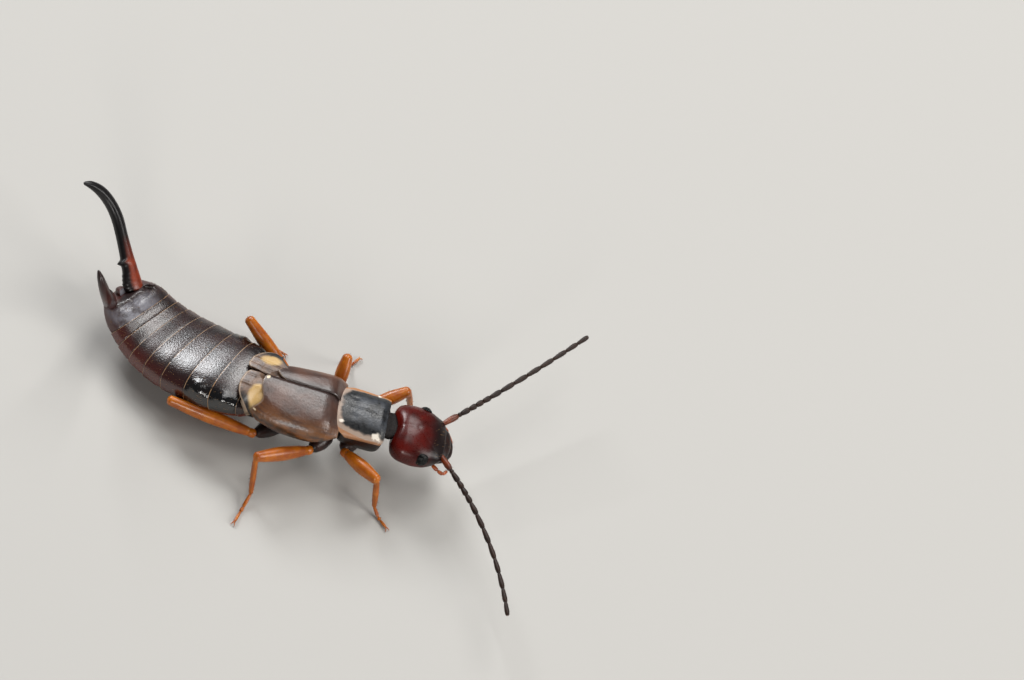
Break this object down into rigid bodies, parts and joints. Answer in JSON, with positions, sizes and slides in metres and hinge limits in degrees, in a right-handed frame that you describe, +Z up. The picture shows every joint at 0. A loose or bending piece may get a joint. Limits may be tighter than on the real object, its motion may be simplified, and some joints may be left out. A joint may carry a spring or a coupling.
{
  "type": "earwig",
  "caption": "Life-size male common earwig standing on six legs, its long ringed abdomen curled up and its two curved pincers open.",
  "frame": {"origin": "on the floor, under the middle of the animal's bounding box", "axes": "+X forwards towards the head, +Y to the insect's own left, +Z up from the floor"},
  "size_m": [0.019, 0.012, 0.0055],
  "materials": {
    "tergite": "satin dark brown cuticle",
    "tail_plate": "satin black-brown cuticle",
    "pincer": "glossy red-brown cuticle, black towards the tip",
    "pronotum": "satin black-grey cuticle with pale margins",
    "dark_side_plate": "dark brown cuticle",
    "wing_cover": "brown leathery cuticle",
    "folded_wing": "pale yellow-brown cuticle",
    "head_capsule": "glossy mahogany-red cuticle",
    "eye": "glossy black facets",
    "mouthparts": "dark red-brown cuticle",
    "palp": "orange-brown cuticle",
    "scape": "reddish-orange cuticle",
    "feeler": "brown cuticle with fine down",
    "leg": "glossy amber cuticle"
  },
  "bodies": {
    "root": {"abdomen_ring_1": "tergite", "abdomen_ring_2": "tergite", "abdomen_ring_3": "tergite", "abdomen_ring_4": "tergite", "abdomen_ring_5": "tergite", "abdomen_ring_6": "tergite", "abdomen_ring_7": "tergite", "abdomen_ring_8": "tergite", "abdomen_ring_9": "tergite", "last_tergite": "tail_plate", "pygidium": "tail_plate", "cercus_right": "pincer", "cercus_left": "pincer", "mesothorax": "dark_side_plate", "metathorax": "dark_side_plate", "prothorax": "dark_side_plate", "pronotum": "pronotum", "neck": "dark_side_plate", "wing_cover_left": "wing_cover", "wing_cover_right": "wing_cover", "wing_left": "folded_wing", "wing_right": "folded_wing", "head": "head_capsule", "mouthparts": "mouthparts", "eye_left": "eye", "palp_left": "palp", "eye_right": "eye", "palp_right": "palp", "antenna_right_scape": "scape", "antenna_right_lash": "feeler", "antenna_left_scape": "scape", "antenna_left_lash": "feeler", "leg_front_right_coxa": "dark_side_plate", "leg_front_right_femur": "leg", "leg_front_right_tibia": "leg", "leg_front_right_tarsus": "leg", "leg_front_left_coxa": "dark_side_plate", "leg_front_left_femur": "leg", "leg_front_left_tibia": "leg", "leg_front_left_tarsus": "leg", "leg_mid_right_coxa": "dark_side_plate", "leg_mid_right_femur": "leg", "leg_mid_right_tibia": "leg", "leg_mid_right_tarsus": "leg", "leg_mid_left_coxa": "dark_side_plate", "leg_mid_left_femur": "leg", "leg_mid_left_tibia": "leg", "leg_mid_left_tarsus": "leg", "leg_hind_right_coxa": "dark_side_plate", "leg_hind_right_femur": "leg", "leg_hind_right_tibia": "leg", "leg_hind_right_tarsus": "leg", "leg_hind_left_coxa": "dark_side_plate", "leg_hind_left_femur": "leg", "leg_hind_left_tibia": "leg", "leg_hind_left_tarsus": "leg"}
  },
  "joints": []
}
